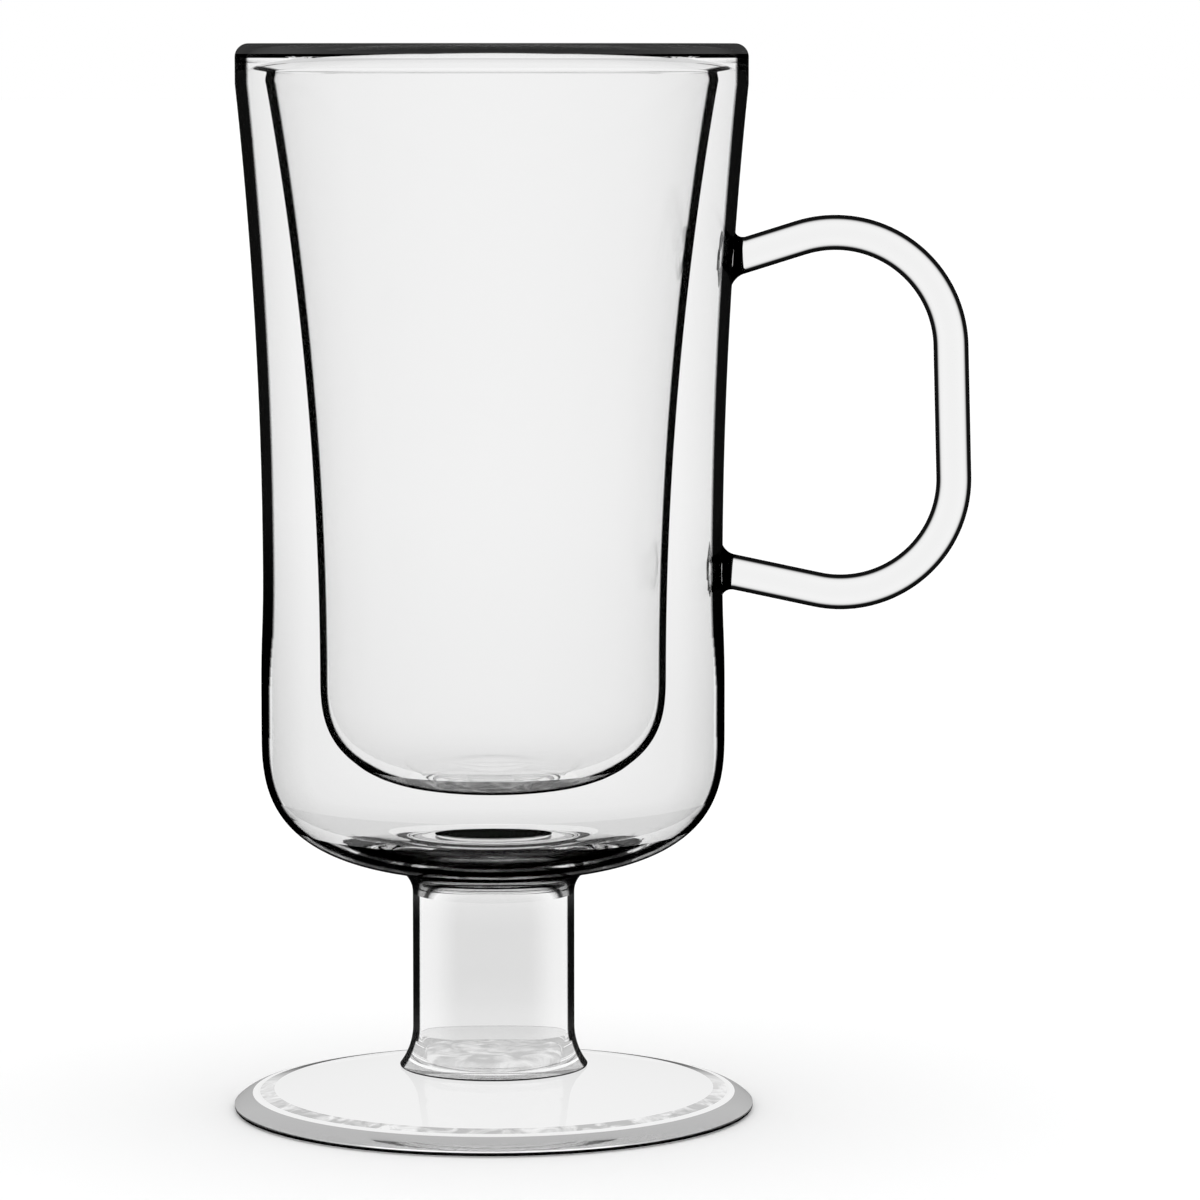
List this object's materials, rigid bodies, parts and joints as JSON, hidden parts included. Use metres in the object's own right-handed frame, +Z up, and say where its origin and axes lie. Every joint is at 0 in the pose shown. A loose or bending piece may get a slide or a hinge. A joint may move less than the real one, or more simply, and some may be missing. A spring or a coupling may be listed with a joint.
{
  "type": "irish coffee mug",
  "caption": "Footed Irish coffee mug of clear double-walled glass, with a rounded body, a hollow stem, a disc foot and a bent rod handle",
  "frame": {"origin": "centre of the ring that the foot stands on, on the surface under the mug", "axes": "+Z up along the axis of the cup, +X towards the handle, +Y to the far side when the handle is on the right"},
  "size_m": [0.1035, 0.0732, 0.1495],
  "materials": {
    "bowl_glass": "polished clear borosilicate glass",
    "handle_glass": "polished clear borosilicate glass rod",
    "foot_glass": "polished clear borosilicate glass"
  },
  "bodies": {
    "root": {"inner_bowl": "bowl_glass", "outer_bowl": "bowl_glass", "vent_plug": "bowl_glass", "handle": "handle_glass", "stem": "foot_glass", "foot": "foot_glass"}
  },
  "joints": []
}
